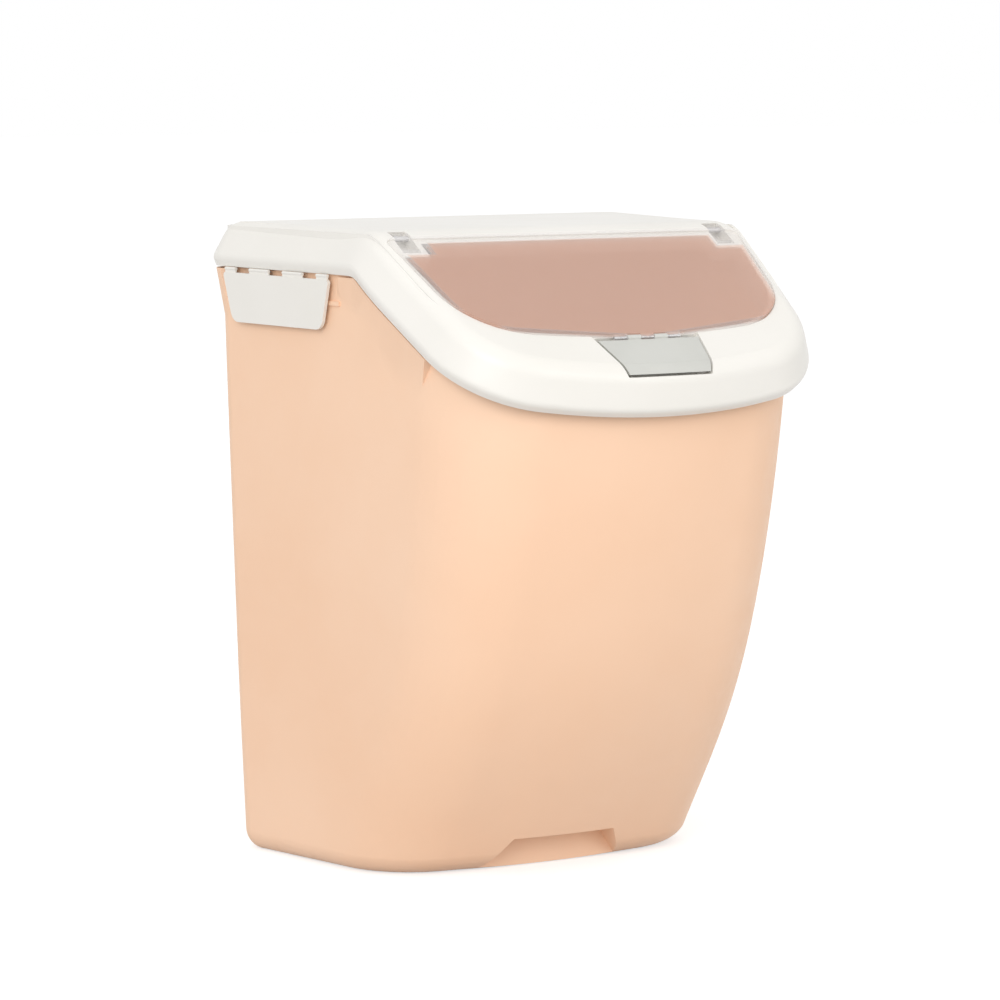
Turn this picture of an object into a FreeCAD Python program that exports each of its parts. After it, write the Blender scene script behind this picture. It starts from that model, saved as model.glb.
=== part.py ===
# Rice storage box: a tapered tub with a sloped lift-off lid, a clear pouring hatch,
# a pull latch at the hatch's front and a fold-down clip on each side.
# Frame: X across, front towards -Y, Z up, the base rests on Z = 0.
import FreeCAD, Part
import math
import os

V = FreeCAD.Vector
X_AXIS = V(1, 0, 0)
Y_AXIS = V(0, 1, 0)
Z_AXIS = V(0, 0, 1)
os.makedirs("parts", exist_ok=True)

# Overall
height = 350.0
slope_angle = 31.8
bend_radius = 40.0
crease_y = -21.0
reach = 600.0

# Lid cap, measured at its lower edge
lid_depth = 24.0
lid_wall = 2.0
lid_rear_half = 139.5
lid_crease_half = 124.6
lid_front_half = 113.0
lid_rear_y = 134.38
lid_corner_run = 124.0
lid_front_run = 152.0
lid_rear_radius = 21.5
lid_side_radius = 240.0
lid_bend_flat = 3.0
lid_corner_radius = 61.0
lid_bow_radius = 285.0
lid_flare = 10.0
lid_edge_round = 12.5
lid_belt_depth = 19.0
lid_roll = 2.0
lid_roll_radius = 5.0
lid_core_inset = 20.0
lid_core_overlap = 1.5

# Tub, sections from the base up: level, half width at rear, half width at front corner,
# rear wall, front wall centre, bow of the front, front corner radius
tub_levels = [
    (0.0, 124.7, 101.8, 122.4, -20.7, 14.4, 50.9),
    (40.0, 125.8, 102.7, 123.1, -47.9, 15.4, 52.5),
    (90.0, 127.2, 103.8, 124.0, -78.3, 16.6, 54.5),
    (150.0, 128.6, 105.1, 125.1, -102.3, 18.1, 57.0),
    (215.0, 130.2, 106.5, 126.2, -118.8, 19.7, 59.6),
    (285.0, 131.8, 108.1, 127.5, -130.2, 21.5, 62.4),
    (348.0, 133.0, 109.2, 128.6, -137.6, 23.0, 64.9),
]
tub_rear_radius = 15.5
tub_bow_radius = 280.0
tub_wall = 2.5
tub_floor = 3.0
base_round = 11.0
foot_steps = 5
base_ring = 14.0
base_relief = 1.2
rim_drop = 18.0

# Shoulder under the lid's edge
shoulder_gap = 1.2
shoulder_drop = 36.0
shoulder_inset = 2.4
shoulder_run = 81.0
clip_bay_front = -4.5
clip_bay_rear = 113.0
clip_bay_radius = 16.0
clip_bay_bite = 0.6

# Finger recess at the foot of the front
recess_top_half = 32.0
recess_foot_half = 44.5
recess_height = 19.0
recess_back_y = -10.0

# Hatch and its opening, along the slope from the crease
hatch_rear_run = 8.5
hatch_rear_half = 111.0
hatch_corner_half = 100.0
hatch_corner_run = 92.0
hatch_front_run = 107.0
hatch_rear_radius = 4.0
hatch_corner_radius = 48.0
hatch_bow_radius = 420.0
hatch_thick = 2.4
hatch_sink = 1.2
hatch_seat_gap = 0.3
hatch_side_gap = 0.5
ledge_width = 3.0
neck_wall = 1.8
neck_depth = 10.5

# Hatch hinge
hinge_run = 3.5
hinge_drop = 3.4
knuckle_radius = 3.0
knuckle_half = 99.3
knuckle_width = 10.0
arm_length = 13.5
hinge_pocket_gap = 0.35
hinge_pocket_rear = 4.6
hinge_pocket_front = 16.0
hinge_pocket_floor = 3.9
block_inner_half = 90.5
block_outer_half = 109.0
block_rear_run = -4.0
block_front_run = 23.5
block_depth = 9.5
hinge_pin_radius = 1.5
hinge_pin_start = 91.5
hinge_pin_end = 107.0
pin_fixed_gap = 0.02
pin_running_gap = 0.08

# Pull latch on the hatch
latch_top_half = 31.0
latch_foot_half = 25.0
latch_foot_z = 278.0
latch_gap = 1.4
latch_rear_run = 105.5
latch_pocket_rear_run = 101.6
latch_pocket_depth = 6.6
latch_liner_wall = 1.6
latch_axis_run = 103.7
latch_axis_rise = 0.1
latch_knuckle_radius = 1.4
latch_knuckle_width = 8.0
latch_knuckle_gap = 0.3
latch_knuckle_reach = 3.2
latch_pin_radius = 0.7
latch_round = 1.0
latch_bead = 1.3
latch_bead_half = 12.0
latch_ridge_half = 14.0
latch_hook_gap = 0.4
latch_ridge_height = 1.6

# Side clips
clip_length = 101.0
clip_foot_length = 85.0
clip_height = 30.0
clip_thick = 1.8
clip_lean = 2.0
clip_corner = 7.0
clip_centre_y = 58.3
clip_inset = 2.2
clip_slot_length = 13.5
clip_slot_height = 2.0
clip_slot_pitch = 32.0
clip_barrel_radius = 0.9
clip_barrel_gap = 0.3
clip_barrel_drop = 1.0
clip_tab_thick = 1.0
clip_bead = 0.9
clip_bead_height = 2.0
clip_bead_length = 74.0
catch_height = 2.4
catch_drop = 14.4
catch_gap = 0.35
catch_hook_gap = 0.4
catch_length = 110.0
catch_root = 6.0

# Seal
plug_wall = 1.8
plug_gap = 0.6
plug_drop = 23.0
gasket_height = 3.0
gasket_gap = 0.35
gasket_inset = 0.9

tilt = math.radians(slope_angle)
setback = bend_radius * math.tan(tilt / 2)
bend_y = crease_y + setback


def outline_path(points, radii):
    """Closed run of straight and rounded pieces: start, crest and end, the crest only on arcs."""
    corners = []
    count = len(points)
    for i in range(count):
        corner = V(points[i][0], points[i][1], 0)
        before = V(points[i - 1][0], points[i - 1][1], 0) - corner
        after = V(points[(i + 1) % count][0], points[(i + 1) % count][1], 0) - corner
        before.normalize()
        after.normalize()
        half = before.getAngle(after) / 2
        run = radii[i] / math.tan(half)
        middle = before + after
        middle.normalize()
        crest = corner + middle * (radii[i] / math.sin(half) - radii[i])
        corners.append((corner + before * run, crest, corner + after * run))
    path = []
    for i in range(count):
        if radii[i]:
            path.append(corners[i])
        path.append((corners[i][2], None, corners[(i + 1) % count][0]))
    return path


def round_outline(points, radii, level):
    """Closed wire of lines and tangent arcs through rounded corners, at one level."""
    edges = []
    for start, crest, end in outline_path(points, radii):
        if crest is None:
            edges.append(Part.makeLine(start, end))
        else:
            edges.append(Part.Arc(start, crest, end).toShape())
    wire = Part.Wire(edges)
    wire.translate(V(0, 0, level))
    return wire


def mirror_points(half):
    """Full outline from its left half, whose last point lies on the centre line."""
    return half + [(-x, y) for x, y in reversed(half[:-1])]


def mirror_radii(half):
    return half + list(reversed(half[:-1]))


def flat_y(run):
    """Flat length position of a point a given run down the slope from the crease."""
    return bend_y + setback - run


def lid_points(inset):
    """Corners and radii of the lid drawn flat at its widest line, drawn in by an inset."""
    rear_turn = math.atan((lid_rear_half - lid_crease_half) / (lid_rear_y - bend_y))
    front_turn = math.atan((lid_crease_half - lid_front_half) / (lid_corner_run - setback))
    bow_turn = math.atan((lid_front_run - lid_corner_run) / lid_front_half)
    rear_step = (lid_side_radius + inset) * math.tan(rear_turn / 2) + lid_bend_flat
    front_step = (lid_side_radius - inset) * math.tan(front_turn / 2) + lid_bend_flat
    rear_in = inset * (1 - math.sin(rear_turn)) / math.cos(rear_turn)
    side_in = inset / math.cos(bow_turn)
    corner_y = flat_y(lid_corner_run)
    corner_turn = math.pi / 2 - front_turn - bow_turn
    corner_back = math.tan(corner_turn / 2)
    corner_x = inset * (math.cos(front_turn) + corner_back * math.sin(front_turn))
    corner_in = inset * (corner_back * math.cos(front_turn) - math.sin(front_turn))
    half = [
        (rear_in - lid_rear_half, lid_rear_y - inset),
        (inset - lid_crease_half, bend_y + rear_step),
        (inset - lid_crease_half, bend_y - front_step),
        (corner_x - lid_front_half, corner_y + corner_in),
        (0, flat_y(lid_front_run) + side_in),
    ]
    radii = [
        lid_rear_radius - inset,
        lid_side_radius + inset,
        lid_side_radius - inset,
        lid_corner_radius - inset,
        lid_bow_radius - inset,
    ]
    return mirror_points(half), mirror_radii(radii)


def lid_outline(inset, level):
    points, radii = lid_points(inset)
    return round_outline(points, radii, level)


def flank_profile(inset):
    """Section of the lid's flank: rounded top edge, straight flare, rolled lip."""
    crown = inset + lid_flare * (1 - inset / lid_belt_depth)
    points = [
        (lid_core_inset, -inset),
        (crown, -inset),
        (inset, -lid_belt_depth),
        (inset + lid_roll, -lid_depth),
        (lid_core_inset, -lid_depth),
    ]
    return Part.Face(round_outline(points, [0, lid_edge_round - inset, lid_roll_radius, 0, 0], 0))


def lid_slab(inset):
    """Cap of the lid drawn flat: its flank section carried round the outline, and the core inside."""
    points, radii = lid_points(0)
    section = flank_profile(inset)
    pieces = []
    for start, crest, end in outline_path(points, radii):
        circle = Part.ArcOfCircle(start, crest, end) if crest else None
        ahead = circle.tangent(circle.FirstParameter)[0] if circle else end - start
        ahead.normalize()
        inward = Z_AXIS.cross(ahead)
        frame = FreeCAD.Matrix()
        frame.setCol(0, inward)
        frame.setCol(1, Z_AXIS)
        frame.setCol(2, inward.cross(Z_AXIS))
        placed = section.copy()
        placed.Placement = FreeCAD.Placement(frame)
        placed.translate(start)
        if circle:
            sweep = (start - circle.Center).getAngle(end - circle.Center)
            side = math.copysign(1, (start - circle.Center).cross(end - circle.Center).z)
            pieces.append(placed.revolve(circle.Center, Z_AXIS, side * math.degrees(sweep)))
        else:
            pieces.append(placed.extrude(end - start))
    core = Part.Face(lid_outline(lid_core_inset - lid_core_overlap, -lid_depth))
    core = core.extrude(V(0, 0, lid_depth - inset))
    return core.fuse(pieces).removeSplitter()


def slope_place(shape):
    """Take a shape drawn flat about the crease to its place on the slope."""
    placed = shape.copy()
    placed.rotate(V(0, 0, 0), X_AXIS, slope_angle)
    placed.translate(V(0, crease_y, height))
    return placed


def front_block():
    return Part.makeBox(2 * reach, reach, 2 * reach, V(-reach, bend_y - reach, -reach))


def front_part(flat):
    piece = flat.common(front_block())
    piece.translate(V(0, -crease_y - 2 * setback, 0))
    return slope_place(piece)


def mitre_block():
    """Half space in front of the plane that halves the angle of the bend."""
    block = Part.makeBox(2 * reach, reach, 2 * reach, V(-reach, -reach, -reach))
    block.rotate(V(0, 0, 0), X_AXIS, slope_angle / 2)
    block.translate(V(0, crease_y, height))
    return block


def bend_section(flat):
    cut_face = Part.makePlane(2 * reach, 2 * reach, V(-reach, bend_y, reach), V(0, -1, 0))
    return cut_face.common(flat)


def fold_sharp(flat):
    """Fold a deep flat solid with a mitred bend."""
    section = bend_section(flat)
    rear = flat.cut(front_block()).fuse(section.extrude(V(0, -2 * setback, 0)))
    rear.translate(V(0, 0, height))
    front = flat.common(front_block()).fuse(section.extrude(V(0, 2 * setback, 0)))
    front.translate(V(0, -crease_y - 2 * setback, 0))
    front = slope_place(front)
    return rear.cut(mitre_block()).fuse(front.common(mitre_block())).removeSplitter()


def fold(flat):
    """Fold a flat solid about the bend: level rear, round bend, sloped front."""
    rear = flat.cut(front_block())
    rear.translate(V(0, 0, height))
    section = bend_section(flat)
    section.translate(V(0, 0, height))
    folded = rear.fuse(front_part(flat))
    for face in section.Faces:
        folded = folded.fuse(face.revolve(V(0, bend_y, height - bend_radius), X_AXIS, slope_angle))
    return folded.removeSplitter()


def below(drop):
    """Everything under the folded surface a given drop below the lid's top."""
    rear = Part.makeBox(2 * reach, reach, reach, V(-reach, bend_y, height - drop - reach))
    radius = bend_radius - drop
    front = Part.makeBox(2 * reach, reach, reach, V(-reach, -reach - setback, -drop - reach))
    round_bar = Part.makeCylinder(radius, 2 * reach, V(-reach, bend_y, height - bend_radius), X_AXIS)
    return rear.fuse([slope_place(front), round_bar])


def tub_section(row, grow):
    level, rear_half, front_half, rear_y, front_y, bow, radius = row
    half = [
        (-rear_half - grow, rear_y + grow),
        (-front_half - grow, front_y + bow - grow),
        (0, front_y - grow),
    ]
    radii = [tub_rear_radius + grow, radius + grow, tub_bow_radius + grow]
    return round_outline(mirror_points(half), mirror_radii(radii), level)


def tub_row(level):
    """Sizes of the tub's section at a low level, in line between the first two given ones."""
    low, high = tub_levels[:2]
    share = (level - low[0]) / (high[0] - low[0])
    return [a + share * (b - a) for a, b in zip(low, high)]


def tub_solid(grow):
    """Tapered tub above its rounded foot, grown or shrunk evenly in plan."""
    rows = [tub_row(base_round)] + tub_levels[1:]
    return Part.makeLoft([tub_section(row, grow) for row in rows], True, False)


def tub_foot(grow, bottom):
    """Rounded foot of the tub, from a bottom level up to where its wall begins."""
    radius = base_round - bottom
    sections = []
    for step in range(foot_steps + 1):
        angle = math.pi / 2 * step / foot_steps
        row = tub_row(base_round - radius * math.cos(angle))
        sections.append(tub_section(row, grow - radius * (1 - math.sin(angle))))
    return Part.makeLoft(sections, True, False)


def slope_prism(half_points, half_radii, low, high):
    """Prism on the slope from an outline given as half widths and runs from the crease."""
    points = mirror_points([(-x, -run) for x, run in half_points])
    wire = round_outline(points, mirror_radii(half_radii), low)
    return slope_place(Part.Face(wire).extrude(V(0, 0, high - low)))


def hatch_prism(grow, low, high):
    half = [
        (hatch_rear_half + grow, hatch_rear_run - grow),
        (hatch_corner_half + grow, hatch_corner_run + grow),
        (0, hatch_front_run + grow),
    ]
    radii = [hatch_rear_radius, hatch_corner_radius + grow, hatch_bow_radius + grow]
    return slope_prism(half, radii, low, high)


def slope_box(x0, x1, run0, run1, low, high):
    return slope_place(Part.makeBox(x1 - x0, run1 - run0, high - low, V(x0, -run1, low)))


def slope_rod(radius, x0, x1, run, level):
    return slope_place(Part.makeCylinder(radius, x1 - x0, V(x0, -run, level), X_AXIS))


def slope_point(run, level):
    """Place of a point on the slope: its Y and Z."""
    y = crease_y - run * math.cos(tilt) - level * math.sin(tilt)
    z = height - run * math.sin(tilt) + level * math.cos(tilt)
    return y, z


def front_trapezoid(gap):
    """Latch outline seen from the front, widened by a gap and carried through in depth."""
    top_z = slope_point(hatch_corner_run, 0)[1]
    foot_z = latch_foot_z - gap
    lean = (latch_top_half - latch_foot_half) / (slope_point(latch_rear_run, 0)[1] - latch_foot_z)
    foot_half = latch_foot_half + lean * (foot_z - latch_foot_z) + gap
    top_half = foot_half + lean * (top_z - foot_z)
    left = [V(-top_half, 0, top_z), V(-foot_half, 0, foot_z)]
    right = [V(foot_half, 0, foot_z), V(top_half, 0, top_z)]
    outline = Part.makePolygon(left + right + left[:1])
    prism = Part.Face(outline).extrude(V(0, -reach, 0))
    prism.translate(V(0, slope_point(latch_pocket_rear_run, 0)[0] + latch_pocket_depth, 0))
    return prism


def mirrored(shape):
    return shape.mirror(V(0, 0, 0), X_AXIS)


def tub_half(y):
    """Half width of the tub just under the lid at a given distance along its side."""
    level, rear_half, front_half, rear_y, front_y, bow, radius = tub_levels[-2]
    share = (rear_y - y) / (rear_y - front_y - bow)
    return rear_half - share * (rear_half - front_half)


def clip_bay():
    """Space behind both clips, where the shoulder is left out."""
    points = [
        (-reach, clip_bay_rear),
        (-reach, clip_bay_front),
        (clip_bay_bite - tub_half(clip_bay_front), clip_bay_front),
        (clip_bay_bite - tub_half(clip_bay_rear), clip_bay_rear),
    ]
    radii = [clip_bay_radius, clip_bay_radius, clip_bay_radius, clip_bay_radius / 2]
    bay = Part.Face(round_outline(points, radii, -reach)).extrude(V(0, 0, 2 * reach))
    return bay.fuse(mirrored(bay))


def shoulder():
    """Flared band that follows the lid's edge round the rear and the back of each flank."""
    top_drop = lid_depth + shoulder_gap
    taper = lid_rear_half - tub_levels[-2][1] + tub_wall
    top = lid_outline(shoulder_inset, -top_drop)
    foot = lid_outline(taper, -top_drop - shoulder_drop)
    band = Part.makeLoft([foot, top], True, True)
    front_end = flat_y(shoulder_run)
    ahead = Part.makeBox(2 * reach, reach, 2 * reach, V(-reach, front_end - reach, -reach))
    return fold_sharp(band.cut(ahead).cut(clip_bay()))


def finger_recess(grow):
    """Trapezoid hollow at the foot of the front, grown by a wall."""
    top = recess_height + grow
    corners = [(-recess_top_half - grow, top), (-recess_foot_half - grow, -grow)]
    corners = corners + [(-x, z) for x, z in reversed(corners)]
    outline = Part.makePolygon([V(x, 0, z) for x, z in corners + corners[:1]])
    hollow = Part.Face(outline).extrude(V(0, -reach, 0))
    hollow.translate(V(0, recess_back_y + grow, 0))
    return hollow


def side_place(shape):
    """Take a shape drawn about the lid's lower edge to the right flank."""
    placed = shape.copy()
    turn = math.atan((lid_rear_half - lid_crease_half) / (lid_rear_y - bend_y))
    placed.rotate(V(0, 0, 0), Z_AXIS, -math.degrees(turn))
    edge_x = lid_rear_half - (lid_rear_y - clip_centre_y) * math.tan(turn)
    placed.translate(V(edge_x, clip_centre_y, height - lid_depth))
    return placed


def side_box(x0, x1, length, low, high):
    return Part.makeBox(x1 - x0, length, high - low, V(x0, -length / 2, low))


# Tub, cut to the rim line, with the shoulder outside
tub_outer = tub_solid(0)
tub_outer = tub_outer.fuse(tub_foot(0, 0)).common(below(rim_drop)).fuse(shoulder())
tub_inner = tub_solid(-tub_wall).fuse(tub_foot(-tub_wall, tub_floor))
tub_inner = tub_inner.cut(finger_recess(tub_wall))
tub = tub_outer.cut(finger_recess(0)).cut(tub_inner)

# Catch rib behind each clip, its tip just clear of the clip's bead
bead_top = catch_drop + catch_height + catch_hook_gap
clip_inner_x = -clip_inset - clip_thick / 2 - bead_top * math.tan(math.radians(clip_lean))
catch_tip = clip_inner_x - clip_bead - catch_gap
catch_foot = -catch_drop - catch_height
catch = side_box(catch_tip - catch_root, catch_tip, catch_length, catch_foot, -catch_drop)
catch = side_place(catch).cut(tub_inner)
tub = tub.fuse([catch, mirrored(catch)])

# Raised ring under the base
base_row = tub_levels[0]
relief = Part.Face(tub_section(base_row, -base_ring)).extrude(V(0, 0, base_relief))
relief = relief.cut(finger_recess(base_ring))
tub = tub.cut(relief).removeSplitter()

# Lid
lid_outer = fold(lid_slab(0))
lid_inner = fold(lid_slab(lid_wall))
lid = lid_outer.cut(lid_inner)
plug = tub_solid(-tub_wall - plug_gap).cut(tub_solid(-tub_wall - plug_gap - plug_wall))
plug = plug.common(below(lid_wall / 2)).cut(below(plug_drop))
neck = hatch_prism(neck_wall - ledge_width, -neck_depth, 0).common(lid_outer)
opening = hatch_prism(-ledge_width, -neck_depth - neck_wall, hatch_thick)
block = slope_box(block_inner_half, block_outer_half, block_rear_run, block_front_run, -block_depth, 0)
block = block.common(lid_outer)
lid = lid.fuse([plug, neck]).cut(opening).fuse([block, mirrored(block)])

pocket_x0 = knuckle_half - knuckle_width / 2 - hinge_pocket_gap
pocket_x1 = knuckle_half + knuckle_width / 2 + hinge_pocket_gap
pocket_floor = -hinge_drop - hinge_pocket_floor
pocket_rear = hinge_run - hinge_pocket_rear
pocket_front = hinge_run + hinge_pocket_front
hinge_pocket = slope_box(pocket_x0, pocket_x1, pocket_rear, pocket_front, pocket_floor, hatch_thick)
hole_radius = hinge_pin_radius + pin_fixed_gap
pin_hole = slope_rod(hole_radius, block_inner_half, hinge_pin_end, hinge_run, -hinge_drop)
lid = lid.cut([hinge_pocket, mirrored(hinge_pocket), pin_hole, mirrored(pin_hole)])


def cap_layer(outside, inside):
    """Layer of the sloped cap between two depths under its surface."""
    return front_part(lid_slab(outside)).cut(front_part(lid_slab(inside)))


def latch_zone(gap, start_run):
    ahead = slope_box(-reach, reach, start_run, start_run + reach, -reach, reach)
    return front_trapezoid(gap).common(ahead)


# Latch pocket in the front band, with its liner and ridge
liner_zone = latch_zone(latch_gap + latch_liner_wall, latch_pocket_rear_run - latch_liner_wall)
liner = cap_layer(0, latch_pocket_depth + latch_liner_wall).common(liner_zone)
pocket_void = latch_zone(latch_gap, latch_pocket_rear_run).cut(front_part(lid_slab(latch_pocket_depth)))
bead_foot = latch_foot_z + latch_round
bead_crown = bead_foot + latch_bead
ridge_foot = bead_crown + latch_hook_gap
ridge_corner = V(-latch_ridge_half, -reach, ridge_foot)
ridge_zone = Part.makeBox(2 * latch_ridge_half, reach, latch_ridge_height, ridge_corner)
bead_corner = V(-latch_bead_half, -reach, bead_foot)
bead_zone = Part.makeBox(2 * latch_bead_half, reach, latch_bead, bead_corner)
ridge_crown = lid_wall + latch_bead + latch_hook_gap
ridge = cap_layer(ridge_crown, latch_pocket_depth + latch_liner_wall / 2).common(ridge_zone)
hatch_seat = hatch_prism(hatch_side_gap, -hatch_sink, hatch_thick)
lid = lid.fuse(liner).cut([hatch_seat, pocket_void]).fuse(ridge)


def clip_rod(radius, length):
    return Part.makeCylinder(radius, length, V(-clip_inset, -length / 2, -clip_barrel_drop), Y_AXIS)


# Seat of the clips' hinge line in the lid's lower edge
seat = side_place(clip_rod(clip_barrel_radius + clip_barrel_gap, clip_length + clip_slot_height))
lid = lid.cut([seat, mirrored(seat)]).removeSplitter()

# Side clip: plate with a bead inside, three slots and a rolled hinge line
plate_top = -clip_barrel_drop - clip_slot_height
plate_points = [
    (-clip_length / 2, plate_top),
    (-clip_foot_length / 2, -clip_height),
    (clip_foot_length / 2, -clip_height),
    (clip_length / 2, plate_top),
]
plate_radii = [clip_thick, clip_corner, clip_corner, clip_thick]
plate = Part.Face(round_outline(plate_points, plate_radii, -clip_thick / 2)).extrude(V(0, 0, clip_thick))
plate.rotate(V(0, 0, 0), V(1, 1, 1), 120)
bead_low = -bead_top - clip_bead_height
bead = side_box(-clip_thick / 2 - clip_bead, 0, clip_bead_length, bead_low, -bead_top)
blade = plate.fuse(bead)
blade.rotate(V(0, 0, plate_top), Y_AXIS, clip_lean)
blade.translate(V(-clip_inset, 0, 0))
tab_x0 = -clip_inset - clip_tab_thick / 2
line_length = clip_length - 2 * clip_thick
tab_low = plate_top - clip_thick
hinge_line = side_box(tab_x0, tab_x0 + clip_tab_thick, line_length, tab_low, -clip_barrel_drop)
hinge_line = hinge_line.fuse(clip_rod(clip_barrel_radius, line_length))
for step in (-1, 0, 1):
    slot = side_box(-reach, reach, clip_slot_length, plate_top, clip_height)
    slot.translate(V(0, step * clip_slot_pitch, 0))
    hinge_line = hinge_line.cut(slot)
clip_right = side_place(blade.fuse(hinge_line)).removeSplitter()
clip_left = mirrored(clip_right)

# Hatch with two hinge arms at the rear and latch knuckles at the front
hatch_low = hatch_seat_gap - hatch_sink
hatch_high = hatch_low + hatch_thick
hatch = hatch_prism(0, hatch_low, hatch_high)
arm_x0 = knuckle_half - knuckle_width / 2
arm_x1 = knuckle_half + knuckle_width / 2
arm_low = -hinge_drop - knuckle_radius
arm = slope_box(arm_x0, arm_x1, hinge_run, hinge_run + arm_length, arm_low, hatch_low)
knuckle = slope_rod(knuckle_radius, arm_x0, arm_x1, hinge_run, -hinge_drop)
arm = arm.fuse(knuckle)
hatch = hatch.fuse([arm, mirrored(arm)])
hinge_bore = slope_rod(hinge_pin_radius + pin_running_gap, -reach, reach, hinge_run, -hinge_drop)
hatch = hatch.cut(hinge_bore)

latch = cap_layer(0, lid_wall).common(latch_zone(0, latch_rear_run))
latch_bead_bar = cap_layer(lid_wall / 2, lid_wall + latch_bead).common(bead_zone)
latch = latch.fuse(latch_bead_bar)
pitch = latch_knuckle_width + latch_knuckle_gap
for step in (-2, -1, 0, 1, 2):
    x0 = step * pitch - latch_knuckle_width / 2
    x1 = x0 + latch_knuckle_width
    eye = slope_rod(latch_knuckle_radius, x0, x1, latch_axis_run, latch_axis_rise)
    if step % 2:
        root_run = latch_axis_run + latch_knuckle_reach
        root_low = latch_axis_rise - latch_knuckle_radius
        root = slope_box(x0, x1, latch_axis_run, root_run, root_low, 0)
        latch = latch.fuse([eye, root])
    else:
        root_run = latch_axis_run - latch_knuckle_reach
        root = slope_box(x0, x1, root_run, latch_axis_run, hatch_low, hatch_high)
        hatch = hatch.fuse([eye, root])
latch_bore = slope_rod(latch_pin_radius + pin_running_gap, -reach, reach, latch_axis_run, latch_axis_rise)
hatch_bore = slope_rod(latch_pin_radius + pin_fixed_gap, -reach, reach, latch_axis_run, latch_axis_rise)
latch = latch.cut(latch_bore).removeSplitter()
hatch = hatch.cut(hatch_bore).removeSplitter()

# Pins
latch_pin_half = 2 * pitch + latch_knuckle_width / 2
latch_pin = slope_rod(latch_pin_radius, -latch_pin_half, latch_pin_half, latch_axis_run, latch_axis_rise)
hatch_pin_right = slope_rod(hinge_pin_radius, hinge_pin_start, hinge_pin_end, hinge_run, -hinge_drop)
hatch_pin_left = mirrored(hatch_pin_right)

# Silicone ring round the plug, just above the tub's rim
gasket = tub_solid(-gasket_inset).cut(tub_solid(gasket_gap - tub_wall - plug_gap))
gasket_top = rim_drop - gasket_gap - gasket_height
gasket = gasket.common(below(gasket_top)).cut(below(rim_drop - gasket_gap))

nodes = {
    "bin_body": tub,
    "lid_frame": lid,
    "hatch_cover": hatch,
    "hatch_latch": latch,
    "latch_pin": latch_pin,
    "hatch_pin_left": hatch_pin_left,
    "hatch_pin_right": hatch_pin_right,
    "side_clip_left": clip_left,
    "side_clip_right": clip_right,
    "lid_gasket": gasket,
}
for name, shape in nodes.items():
    solids = shape.Solids
    print(name, len(solids), shape.isValid(), round(shape.Volume))
    shape.exportStep("parts/" + name + ".step")
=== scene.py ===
import math
import bpy
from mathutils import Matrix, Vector


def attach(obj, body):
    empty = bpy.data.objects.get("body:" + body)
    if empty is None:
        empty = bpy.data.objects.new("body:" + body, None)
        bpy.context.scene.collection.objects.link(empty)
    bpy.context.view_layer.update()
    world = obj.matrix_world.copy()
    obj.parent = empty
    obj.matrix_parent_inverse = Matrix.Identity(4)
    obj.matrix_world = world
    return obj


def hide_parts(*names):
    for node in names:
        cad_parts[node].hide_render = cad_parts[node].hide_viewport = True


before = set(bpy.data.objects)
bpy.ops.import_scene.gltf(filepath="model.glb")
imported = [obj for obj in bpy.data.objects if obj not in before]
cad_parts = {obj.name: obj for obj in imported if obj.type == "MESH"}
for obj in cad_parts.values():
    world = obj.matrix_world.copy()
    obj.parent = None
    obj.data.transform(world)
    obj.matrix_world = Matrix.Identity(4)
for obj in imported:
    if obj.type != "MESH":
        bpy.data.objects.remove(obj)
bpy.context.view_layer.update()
print("rice box: frame loaded with", len(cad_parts), "nodes")


# sRGB curve, from the number of a screen colour to light
screenCurve = {"top": 255, "toeEnd": 0.04045, "toeSlope": 12.92, "offset": 0.055, "power": 2.4}


def fromScreen(*levels):
    light = []
    for level in levels:
        share = level / screenCurve["top"]
        if share <= screenCurve["toeEnd"]:
            light.append(share / screenCurve["toeSlope"])
        else:
            lifted = (share + screenCurve["offset"]) / (1 + screenCurve["offset"])
            light.append(lifted ** screenCurve["power"])
    return (*light, 1.0)


# camera, fitted to the photograph
viewPoint = {
    "place": (-1.2126, -1.9601, 0.4530),
    "ahead": (0.51556, 0.84984, -0.10938),
    "lens": 152.66,
    "sensor": 36.0,
    "sight": 50.0,
}
cameraData = bpy.data.cameras.new("photoCamera")
cameraData.lens = viewPoint["lens"]
cameraData.sensor_width = viewPoint["sensor"]
cameraData.clip_end = viewPoint["sight"]
photoCamera = bpy.data.objects.new("photoCamera", cameraData)
photoCamera.location = viewPoint["place"]
photoCamera.rotation_mode = "QUATERNION"
photoCamera.rotation_quaternion = Vector(viewPoint["ahead"]).to_track_quat("-Z", "Y")
bpy.context.scene.collection.objects.link(photoCamera)
bpy.context.scene.camera = photoCamera
bpy.context.scene.view_settings.view_transform = "Standard"
print("rice box: camera set")


def addSocket(tree, name, way, kind):
    tree.interface.new_socket(name=name, in_out=way, socket_type=kind)


# clouds of tone from the melt, fine tool grain, a few handling scuffs
skinPattern = {
    "cloudDetail": 3.0,
    "cloudRoughness": 0.45,
    "cloudLow": 0.35,
    "cloudHigh": 0.65,
    "grainDetail": 2.0,
    "scuffScale": 60.0,
    "scuffDetail": 4.0,
    "scuffDistortion": 0.6,
    "scuffLow": 0.4,
    "scuffHigh": 0.7,
}


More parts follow.
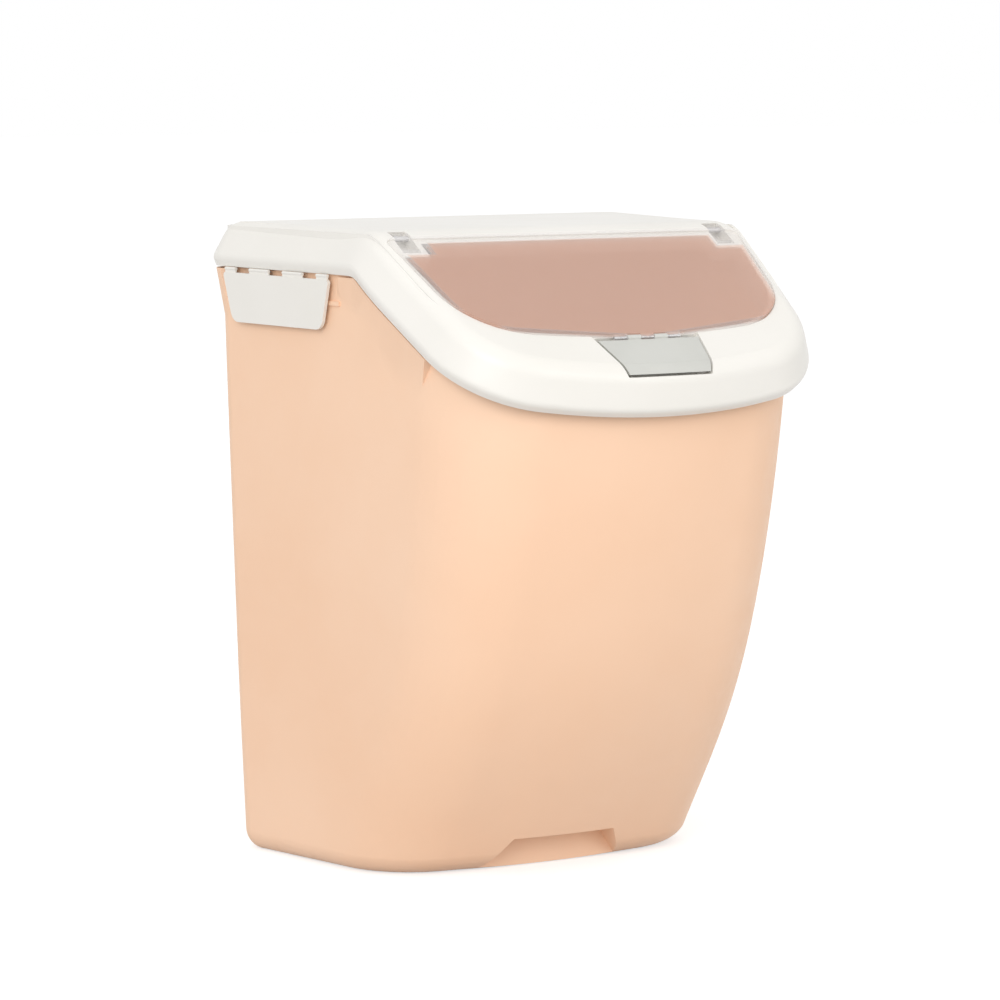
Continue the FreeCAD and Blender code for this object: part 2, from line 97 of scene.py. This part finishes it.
def makeMouldedSkin():
    tree = bpy.data.node_groups.new("mouldedSkin", "ShaderNodeTree")
    addSocket(tree, "Place", "INPUT", "NodeSocketVector")
    addSocket(tree, "Light Tint", "INPUT", "NodeSocketColor")
    addSocket(tree, "Deep Tint", "INPUT", "NodeSocketColor")
    addSocket(tree, "Cloud Scale", "INPUT", "NodeSocketFloat")
    addSocket(tree, "Grain Scale", "INPUT", "NodeSocketFloat")
    addSocket(tree, "Smooth Roughness", "INPUT", "NodeSocketFloat")
    addSocket(tree, "Worn Roughness", "INPUT", "NodeSocketFloat")
    addSocket(tree, "Colour", "OUTPUT", "NodeSocketColor")
    addSocket(tree, "Roughness", "OUTPUT", "NodeSocketFloat")
    addSocket(tree, "Grain", "OUTPUT", "NodeSocketFloat")
    nodes, links = tree.nodes, tree.links
    inside = nodes.new("NodeGroupInput")
    outside = nodes.new("NodeGroupOutput")
    cloud = nodes.new("ShaderNodeTexNoise")
    cloud.inputs["Detail"].default_value = skinPattern["cloudDetail"]
    cloud.inputs["Roughness"].default_value = skinPattern["cloudRoughness"]
    links.new(inside.outputs["Place"], cloud.inputs["Vector"])
    links.new(inside.outputs["Cloud Scale"], cloud.inputs["Scale"])
    spread = nodes.new("ShaderNodeMapRange")
    spread.inputs["From Min"].default_value = skinPattern["cloudLow"]
    spread.inputs["From Max"].default_value = skinPattern["cloudHigh"]
    links.new(cloud.outputs["Fac"], spread.inputs["Value"])
    tint = nodes.new("ShaderNodeMix")
    tint.data_type = "RGBA"
    links.new(spread.outputs["Result"], tint.inputs["Factor"])
    links.new(inside.outputs["Deep Tint"], tint.inputs["A"])
    links.new(inside.outputs["Light Tint"], tint.inputs["B"])
    links.new(tint.outputs["Result"], outside.inputs["Colour"])
    grain = nodes.new("ShaderNodeTexNoise")
    grain.inputs["Detail"].default_value = skinPattern["grainDetail"]
    links.new(inside.outputs["Place"], grain.inputs["Vector"])
    links.new(inside.outputs["Grain Scale"], grain.inputs["Scale"])
    links.new(grain.outputs["Fac"], outside.inputs["Grain"])
    scuff = nodes.new("ShaderNodeTexNoise")
    scuff.inputs["Scale"].default_value = skinPattern["scuffScale"]
    scuff.inputs["Detail"].default_value = skinPattern["scuffDetail"]
    scuff.inputs["Distortion"].default_value = skinPattern["scuffDistortion"]
    links.new(inside.outputs["Place"], scuff.inputs["Vector"])
    worn = nodes.new("ShaderNodeMapRange")
    worn.inputs["From Min"].default_value = skinPattern["scuffLow"]
    worn.inputs["From Max"].default_value = skinPattern["scuffHigh"]
    links.new(scuff.outputs["Fac"], worn.inputs["Value"])
    links.new(inside.outputs["Smooth Roughness"], worn.inputs["To Min"])
    links.new(inside.outputs["Worn Roughness"], worn.inputs["To Max"])
    links.new(worn.outputs["Result"], outside.inputs["Roughness"])
    return tree


mouldedSkin = makeMouldedSkin()


def makeFinish(name, look):
    finish = bpy.data.materials.new(name)
    finish.use_nodes = True
    nodes, links = finish.node_tree.nodes, finish.node_tree.links
    shader = nodes["Principled BSDF"]
    place = nodes.new("ShaderNodeTexCoord")
    skin = nodes.new("ShaderNodeGroup")
    skin.node_tree = mouldedSkin
    skin.inputs["Light Tint"].default_value = look["light"]
    skin.inputs["Deep Tint"].default_value = look["deep"]
    skin.inputs["Cloud Scale"].default_value = look["cloudScale"]
    skin.inputs["Grain Scale"].default_value = look["grainScale"]
    skin.inputs["Smooth Roughness"].default_value = look["smooth"]
    skin.inputs["Worn Roughness"].default_value = look["worn"]
    links.new(place.outputs["Object"], skin.inputs["Place"])
    links.new(skin.outputs["Colour"], shader.inputs["Base Color"])
    links.new(skin.outputs["Roughness"], shader.inputs["Roughness"])
    bump = nodes.new("ShaderNodeBump")
    bump.inputs["Strength"].default_value = look["grainStrength"]
    bump.inputs["Distance"].default_value = look["grainDepth"]
    links.new(skin.outputs["Grain"], bump.inputs["Height"])
    links.new(bump.outputs["Normal"], shader.inputs["Normal"])
    for socket, value in look.get("shader", {}).items():
        shader.inputs[socket].default_value = value
    return finish


peachLook = {
    "light": fromScreen(252, 214, 184),
    "deep": fromScreen(249, 208, 176),
    "cloudScale": 7.0,
    "grainScale": 1500.0,
    "grainStrength": 0.25,
    "grainDepth": 0.0002,
    "smooth": 0.46,
    "worn": 0.6,
    "shader": {"Specular IOR Level": 0.4},
}
whiteLook = {
    "light": fromScreen(240, 237, 231),
    "deep": fromScreen(236, 233, 226),
    "cloudScale": 10.0,
    "grainScale": 1800.0,
    "grainStrength": 0.015,
    "grainDepth": 0.00005,
    "smooth": 0.3,
    "worn": 0.35,
    "shader": {"Specular IOR Level": 0.4},
}
clearLook = {
    "light": fromScreen(250, 247, 245),
    "deep": fromScreen(246, 241, 239),
    "cloudScale": 12.0,
    "grainScale": 2200.0,
    "grainStrength": 0.12,
    "grainDepth": 0.0001,
    "smooth": 0.3,
    "worn": 0.38,
    "shader": {"IOR": 1.49},
}
greyLook = {
    "light": fromScreen(204, 204, 198),
    "deep": fromScreen(198, 198, 192),
    "cloudScale": 30.0,
    "grainScale": 2000.0,
    "grainStrength": 0.2,
    "grainDepth": 0.0001,
    "smooth": 0.34,
    "worn": 0.46,
}
steelLook = {
    "light": fromScreen(205, 205, 207),
    "deep": fromScreen(186, 186, 189),
    "cloudScale": 120.0,
    "grainScale": 3000.0,
    "grainStrength": 0.3,
    "grainDepth": 0.0001,
    "smooth": 0.25,
    "worn": 0.4,
    "shader": {"Metallic": 1.0},
}
siliconeLook = {
    "light": fromScreen(238, 237, 234),
    "deep": fromScreen(230, 229, 226),
    "cloudScale": 25.0,
    "grainScale": 1200.0,
    "grainStrength": 0.2,
    "grainDepth": 0.0002,
    "smooth": 0.5,
    "worn": 0.62,
    "shader": {"Subsurface Weight": 0.2, "Subsurface Scale": 0.002},
}
finishes = {
    "peach_plastic": makeFinish("peachPlastic", peachLook),
    "white_plastic": makeFinish("whitePlastic", whiteLook),
    "clear_plastic": makeFinish("clearPlastic", clearLook),
    "grey_plastic": makeFinish("greyPlastic", greyLook),
    "pin_steel": makeFinish("pinSteel", steelLook),
    "silicone": makeFinish("siliconeRing", siliconeLook),
}


# frosted window of the hatch inside its clear border, measured down the slope from the crease; its pane tint
# is painted shade, standing for the shaded peach inside of the bin seen through the cover
window = {
    "creaseY": -0.021,
    "creaseZ": 0.350,
    "slope": math.radians(31.8),
    "rearRun": 0.0135,
    "rearHalf": 0.1105,
    "sideLean": 0.132,
    "frontRun": 0.1055,
    "frontLean": 0.15,
    "cornerBlend": 0.03,
    "blockHalf": 0.0902,
    "blockRun": 0.0238,
    "softEdge": 0.0025,
    # painted shade: the dim peach inside of the bin, as seen through the cover
    "paneShadeTint": fromScreen(229, 187, 167),
    "borderAlpha": 0.2,
    "paneAlpha": 0.55,
}


def makeWindowMask():
    tree = bpy.data.node_groups.new("windowMask", "ShaderNodeTree")
    addSocket(tree, "Place", "INPUT", "NodeSocketVector")
    addSocket(tree, "Soft Edge", "INPUT", "NodeSocketFloat")
    addSocket(tree, "Window", "OUTPUT", "NodeSocketFloat")
    nodes, links = tree.nodes, tree.links
    inside = nodes.new("NodeGroupInput")
    outside = nodes.new("NodeGroupOutput")
    axes = nodes.new("ShaderNodeSeparateXYZ")
    links.new(inside.outputs["Place"], axes.inputs["Vector"])

    def addMath(operation, *values):
        step = nodes.new("ShaderNodeMath")
        step.operation = operation
        for socket, value in zip(step.inputs, values):
            if isinstance(value, (int, float)):
                socket.default_value = value
            else:
                links.new(value, socket)
        return step.outputs["Value"]

    # place on the slope: distance down it and distance from the middle
    ahead = addMath("SUBTRACT", window["creaseY"], axes.outputs["Y"])
    drop = addMath("SUBTRACT", window["creaseZ"], axes.outputs["Z"])
    levelRun = addMath("MULTIPLY", ahead, math.cos(window["slope"]))
    run = addMath("MULTIPLY_ADD", drop, math.sin(window["slope"]), levelRun)
    across = addMath("ABSOLUTE", axes.outputs["X"])

    # room to each side of the window, below zero outside it
    sideHalf = addMath("MULTIPLY_ADD", run, -window["sideLean"], window["rearHalf"])
    sideRoom = addMath("SUBTRACT", sideHalf, across)
    frontReach = addMath("MULTIPLY_ADD", across, -window["frontLean"], window["frontRun"])
    frontRoom = addMath("SUBTRACT", frontReach, run)
    rearRoom = addMath("SUBTRACT", run, window["rearRun"])
    corner = addMath("SMOOTH_MIN", sideRoom, frontRoom, window["cornerBlend"])

    # the window steps back round the hinge blocks
    besideBlock = addMath("SUBTRACT", window["blockHalf"], across)
    beforeBlock = addMath("SUBTRACT", run, window["blockRun"])
    blockRoom = addMath("MAXIMUM", besideBlock, beforeBlock)
    room = addMath("MINIMUM", addMath("MINIMUM", corner, rearRoom), blockRoom)
    edge = nodes.new("ShaderNodeMapRange")
    edge.interpolation_type = "SMOOTHSTEP"
    links.new(room, edge.inputs["Value"])
    links.new(inside.outputs["Soft Edge"], edge.inputs["From Max"])
    links.new(edge.outputs["Result"], outside.inputs["Window"])
    return tree


def addWindow(finish):
    nodes, links = finish.node_tree.nodes, finish.node_tree.links
    shader = nodes["Principled BSDF"]
    clearTone = shader.inputs["Base Color"].links[0].from_socket
    place = nodes.new("ShaderNodeTexCoord")
    mask = nodes.new("ShaderNodeGroup")
    mask.node_tree = makeWindowMask()
    mask.inputs["Soft Edge"].default_value = window["softEdge"]
    links.new(place.outputs["Object"], mask.inputs["Place"])
    # painted shade: inside the window the cover is tinted towards the shaded peach inside of the bin that
    # shows through it
    paneShade = nodes.new("ShaderNodeMix")
    paneShade.data_type = "RGBA"
    paneShade.inputs["B"].default_value = window["paneShadeTint"]
    links.new(mask.outputs["Window"], paneShade.inputs["Factor"])
    links.new(clearTone, paneShade.inputs["A"])
    links.new(paneShade.outputs["Result"], shader.inputs["Base Color"])
    veil = nodes.new("ShaderNodeMapRange")
    veil.inputs["To Min"].default_value = window["borderAlpha"]
    veil.inputs["To Max"].default_value = window["paneAlpha"]
    links.new(mask.outputs["Window"], veil.inputs["Value"])
    links.new(veil.outputs["Result"], shader.inputs["Alpha"])


addWindow(finishes["clear_plastic"])
print("rice box: finishes made")


# welds the loose triangles of a moulding and shades its curves smoothly
shellSettings = {"weldDistance": 0.000005, "normalWeight": 50}


def makeShellTree():
    tree = bpy.data.node_groups.new("mouldedShell", "GeometryNodeTree")
    addSocket(tree, "Geometry", "INPUT", "NodeSocketGeometry")
    addSocket(tree, "Weld Distance", "INPUT", "NodeSocketFloat")
    addSocket(tree, "Crease Angle", "INPUT", "NodeSocketFloat")
    addSocket(tree, "Finish", "INPUT", "NodeSocketMaterial")
    addSocket(tree, "Geometry", "OUTPUT", "NodeSocketGeometry")
    nodes, links = tree.nodes, tree.links
    inside = nodes.new("NodeGroupInput")
    outside = nodes.new("NodeGroupOutput")
    weld = nodes.new("GeometryNodeMergeByDistance")
    links.new(inside.outputs["Geometry"], weld.inputs["Geometry"])
    links.new(inside.outputs["Weld Distance"], weld.inputs["Distance"])
    faces = nodes.new("GeometryNodeSetShadeSmooth")
    faces.domain = "FACE"
    links.new(weld.outputs["Geometry"], faces.inputs["Geometry"])
    angle = nodes.new("GeometryNodeInputMeshEdgeAngle")
    soft = nodes.new("FunctionNodeCompare")
    soft.data_type = "FLOAT"
    soft.operation = "LESS_EQUAL"
    links.new(angle.outputs["Unsigned Angle"], soft.inputs["A"])
    links.new(inside.outputs["Crease Angle"], soft.inputs["B"])
    creases = nodes.new("GeometryNodeSetShadeSmooth")
    creases.domain = "EDGE"
    links.new(faces.outputs["Geometry"], creases.inputs["Geometry"])
    links.new(soft.outputs["Result"], creases.inputs["Shade Smooth"])
    plain = nodes.new("GeometryNodeRealizeInstances")
    links.new(creases.outputs["Geometry"], plain.inputs["Geometry"])
    dress = nodes.new("GeometryNodeSetMaterial")
    links.new(plain.outputs["Geometry"], dress.inputs["Geometry"])
    links.new(inside.outputs["Finish"], dress.inputs["Material"])
    links.new(dress.outputs["Geometry"], outside.inputs["Geometry"])
    return tree


shellTree = makeShellTree()
shellItems = shellTree.interface.items_tree
shellSockets = {item.name: item.identifier for item in shellItems if item.in_out == "INPUT"}


def makeShell(node, name, body, slot, crease):
    rough = bpy.data.objects.new(name + "Rough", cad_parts[node].data.copy())
    bpy.context.scene.collection.objects.link(rough)
    shape = rough.modifiers.new("shell", "NODES")
    shape.node_group = shellTree
    shape[shellSockets["Weld Distance"]] = shellSettings["weldDistance"]
    shape[shellSockets["Crease Angle"]] = math.radians(crease)
    shape[shellSockets["Finish"]] = finishes[slot]
    even = rough.modifiers.new("even", "WEIGHTED_NORMAL")
    even.keep_sharp = True
    even.weight = shellSettings["normalWeight"]
    seen = rough.evaluated_get(bpy.context.evaluated_depsgraph_get())
    mesh = bpy.data.meshes.new_from_object(seen)
    mesh.name = name
    bpy.data.objects.remove(rough)
    shell = bpy.data.objects.new(name, mesh)
    bpy.context.scene.collection.objects.link(shell)
    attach(shell, body)
    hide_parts(node)


# an edge sharper than its crease angle, in degrees, stays sharp
mouldings = {
    "binShell": {"node": "bin_body", "body": "bin", "slot": "peach_plastic", "crease": 28},
    "lidShell": {"node": "lid_frame", "body": "lid", "slot": "white_plastic", "crease": 28},
    "hatchPane": {"node": "hatch_cover", "body": "hatch", "slot": "clear_plastic", "crease": 28},
    "latchPull": {"node": "hatch_latch", "body": "latch", "slot": "grey_plastic", "crease": 28},
    "latchPinRod": {"node": "latch_pin", "body": "hatch", "slot": "pin_steel", "crease": 40},
    "hatchPinRodLeft": {"node": "hatch_pin_left", "body": "lid", "slot": "pin_steel", "crease": 40},
    "hatchPinRodRight": {"node": "hatch_pin_right", "body": "lid", "slot": "pin_steel", "crease": 40},
    "clipFlapLeft": {"node": "side_clip_left", "body": "clip_left", "slot": "white_plastic", "crease": 28},
    "clipFlapRight": {"node": "side_clip_right", "body": "clip_right", "slot": "white_plastic", "crease": 28},
    "sealRing": {"node": "lid_gasket", "body": "lid", "slot": "silicone", "crease": 28},
}
for name, moulding in mouldings.items():
    makeShell(moulding["node"], name, moulding["body"], moulding["slot"], moulding["crease"])
print("rice box: mouldings dressed")


# floor and light
studio = {
    "floorSize": 30.0,
    "floorTint": (0.6, 0.6, 0.6, 1.0),
    "floorRoughness": 0.9,
    "floorSpecular": 0.0,
    "floorGlow": 0.6,
    "white": (1, 1, 1, 1),
    "skyGlow": 0.76,
    "skySeen": 1.0,
    "lampAim": (0, 0, 0.18),
    "keyPower": 50.0,
    "keyPlace": (-2.5, -2.3, 1.5),
    "keySize": 2.0,
    "fillPower": 23.0,
    "fillPlace": (1.1, -3.2, 1.2),
    "fillSize": 2.0,
}


def seenStraight(nodes, links):
    # one for rays from the camera, mirrors and clear pieces, zero for light
    path = nodes.new("ShaderNodeLightPath")
    first = nodes.new("ShaderNodeMath")
    first.operation = "MAXIMUM"
    links.new(path.outputs["Is Camera Ray"], first.inputs[0])
    links.new(path.outputs["Is Glossy Ray"], first.inputs[1])
    second = nodes.new("ShaderNodeMath")
    second.operation = "MAXIMUM"
    links.new(first.outputs["Value"], second.inputs[0])
    links.new(path.outputs["Is Transmission Ray"], second.inputs[1])
    return second.outputs["Value"]


def makeFloor():
    half = studio["floorSize"] / 2
    corners = [(-half, -half, 0), (half, -half, 0), (half, half, 0), (-half, half, 0)]
    mesh = bpy.data.meshes.new("paleFloor")
    mesh.from_pydata(corners, [], [(0, 1, 2, 3)])
    floor = bpy.data.objects.new("paleFloor", mesh)
    bpy.context.scene.collection.objects.link(floor)
    paint = bpy.data.materials.new("paleFloor")
    paint.use_nodes = True
    nodes, links = paint.node_tree.nodes, paint.node_tree.links
    shader = nodes["Principled BSDF"]
    shader.inputs["Base Color"].default_value = studio["floorTint"]
    shader.inputs["Roughness"].default_value = studio["floorRoughness"]
    shader.inputs["Specular IOR Level"].default_value = studio["floorSpecular"]
    shader.inputs["Emission Color"].default_value = studio["white"]
    lift = nodes.new("ShaderNodeMath")
    lift.operation = "MULTIPLY"
    lift.inputs[1].default_value = studio["floorGlow"]
    links.new(seenStraight(nodes, links), lift.inputs[0])
    links.new(lift.outputs["Value"], shader.inputs["Emission Strength"])
    mesh.materials.append(paint)


def makeSky():
    sky = bpy.data.worlds.new("softSky")
    sky.use_nodes = True
    bpy.context.scene.world = sky
    nodes, links = sky.node_tree.nodes, sky.node_tree.links
    glow = nodes["Background"]
    glow.inputs["Color"].default_value = studio["white"]
    level = nodes.new("ShaderNodeMapRange")
    level.inputs["To Min"].default_value = studio["skyGlow"]
    level.inputs["To Max"].default_value = studio["skySeen"]
    links.new(seenStraight(nodes, links), level.inputs["Value"])
    links.new(level.outputs["Result"], glow.inputs["Strength"])


def makeLamp(name, place, power, size):
    data = bpy.data.lights.new(name, "AREA")
    data.energy = power
    data.size = size
    lamp = bpy.data.objects.new(name, data)
    lamp.location = place
    lamp.rotation_mode = "QUATERNION"
    lamp.rotation_quaternion = (Vector(studio["lampAim"]) - Vector(place)).to_track_quat("-Z", "Y")
    bpy.context.scene.collection.objects.link(lamp)


makeFloor()
makeSky()
makeLamp("softKey", studio["keyPlace"], studio["keyPower"], studio["keySize"])
makeLamp("softFill", studio["fillPlace"], studio["fillPower"], studio["fillSize"])
print("rice box: floor and light set")
